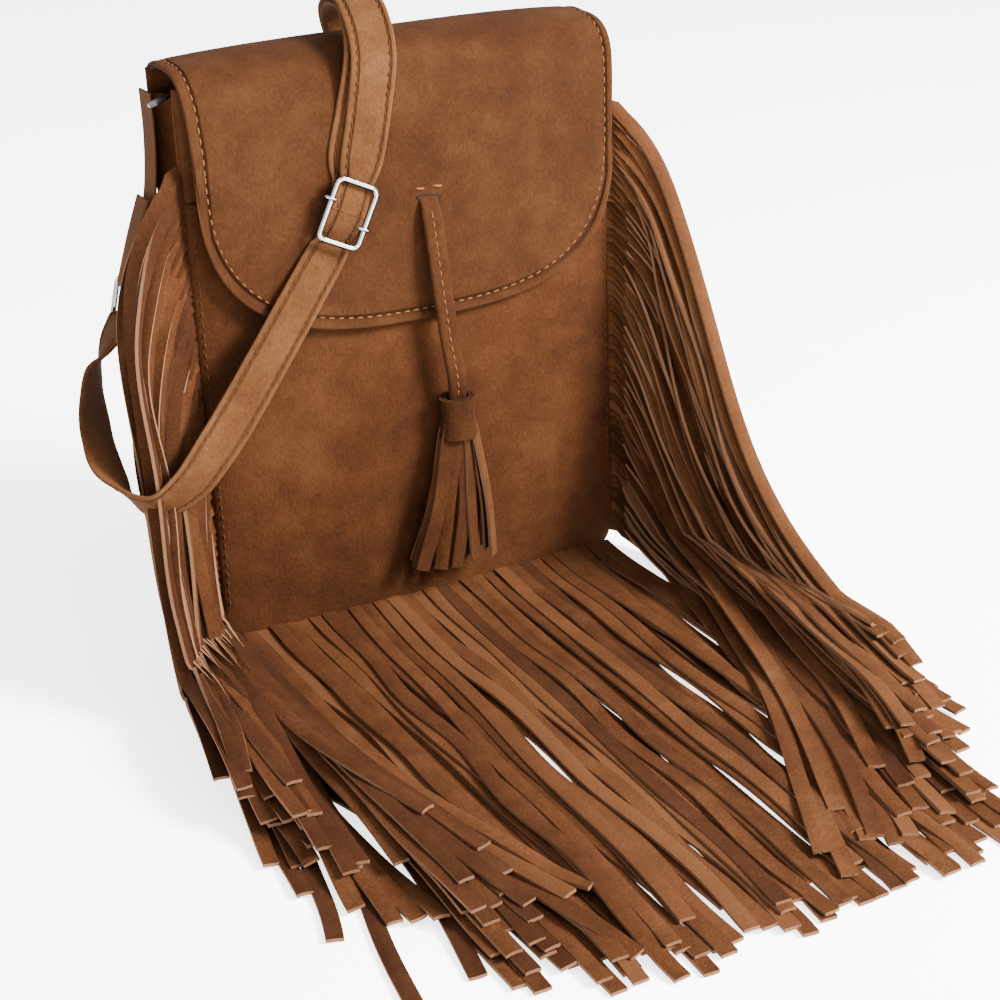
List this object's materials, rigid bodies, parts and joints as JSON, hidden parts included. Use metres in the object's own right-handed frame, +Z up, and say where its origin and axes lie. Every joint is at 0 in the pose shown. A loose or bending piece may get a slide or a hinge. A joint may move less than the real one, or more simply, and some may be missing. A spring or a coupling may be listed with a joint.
{
  "type": "fringed bag",
  "caption": "Soft upright shoulder bag with a hinged flap over a zip mouth, side and bottom fringe, a flap tassel and a strap with a wire slider",
  "frame": {"origin": "middle of the flat base that the bag stands on, half way through its depth", "axes": "+Z up, the flap and tassel face -Y, +X is to the right of someone facing the front"},
  "size_m": [0.2879, 0.3566, 0.2756],
  "materials": {
    "suede": "brushed nap suede, matt",
    "fringe_suede": "cut suede strips with paler edges",
    "strap_suede": "folded suede with two stitch rows",
    "lining_cloth": "plain woven lining",
    "zip_tape": "dark woven tape",
    "zip_teeth": "dark coil",
    "snap_metal": "dull plated disc",
    "gunmetal": "dark polished plating"
  },
  "bodies": {
    "bag": {"front_panel": "suede", "front_pocket": "suede", "back_panel": "suede", "gusset": "suede", "lining": "lining_cloth", "snap_socket": "snap_metal", "zip_tape_front": "zip_tape", "zip_tape_back": "zip_tape", "zip_teeth_front": "zip_teeth", "zip_teeth_back": "zip_teeth", "fringe_left": "fringe_suede", "fringe_right": "fringe_suede", "fringe_bottom": "fringe_suede", "shoulder_strap": "strap_suede", "ring_tab_left": "strap_suede", "ring_tab_right": "strap_suede"},
    "flap": {"flap_outer": "suede", "flap_lining": "lining_cloth", "snap_stud": "snap_metal", "tassel_strap": "suede", "tassel_head": "suede", "tassel_strands": "fringe_suede"},
    "buckle": {"buckle_frame": "gunmetal"},
    "buckle_bar": {"buckle_bar": "gunmetal"},
    "zip_slider": {"zip_slider": "gunmetal"},
    "zip_pull": {"zip_pull": "gunmetal"},
    "ring_left": {"d_ring_left": "gunmetal"},
    "ring_right": {"d_ring_right": "gunmetal"}
  },
  "joints": [
    {"name": "flap_hinge", "type": "hinge", "parent": "bag", "child": "flap", "pos_m": [0, 0.0165, 0.255], "axis": [-1, 0, 0], "range_deg": [0, 150], "deforming": ["shoulder_strap"]},
    {"name": "buckle_slide", "type": "slide", "parent": "flap", "child": "buckle", "axis": [-0.4384, 0, -0.8988], "range_m": [-0.008, 0.008]},
    {"name": "buckle_bar_slide", "type": "slide", "parent": "buckle", "child": "buckle_bar", "axis": [-0.4384, 0, -0.8988], "range_m": [-0.003, 0.003]},
    {"name": "zip_slide", "type": "slide", "parent": "bag", "child": "zip_slider", "axis": [1, 0, 0], "range_m": [0, 0.15]},
    {"name": "zip_pull_hinge", "type": "hinge", "parent": "zip_slider", "child": "zip_pull", "pos_m": [-0.0861, 0, 0.2477], "axis": [0, 1, 0], "range_deg": [0, 22]},
    {"name": "ring_left_swing", "type": "hinge", "parent": "bag", "child": "ring_left", "pos_m": [-0.117, 0.015, 0.164], "axis": [0, 1, 0], "range_deg": [-20, 20]},
    {"name": "ring_right_swing", "type": "hinge", "parent": "bag", "child": "ring_right", "pos_m": [0.117, 0.015, 0.164], "axis": [0, 1, 0], "range_deg": [-20, 20]}
  ]
}
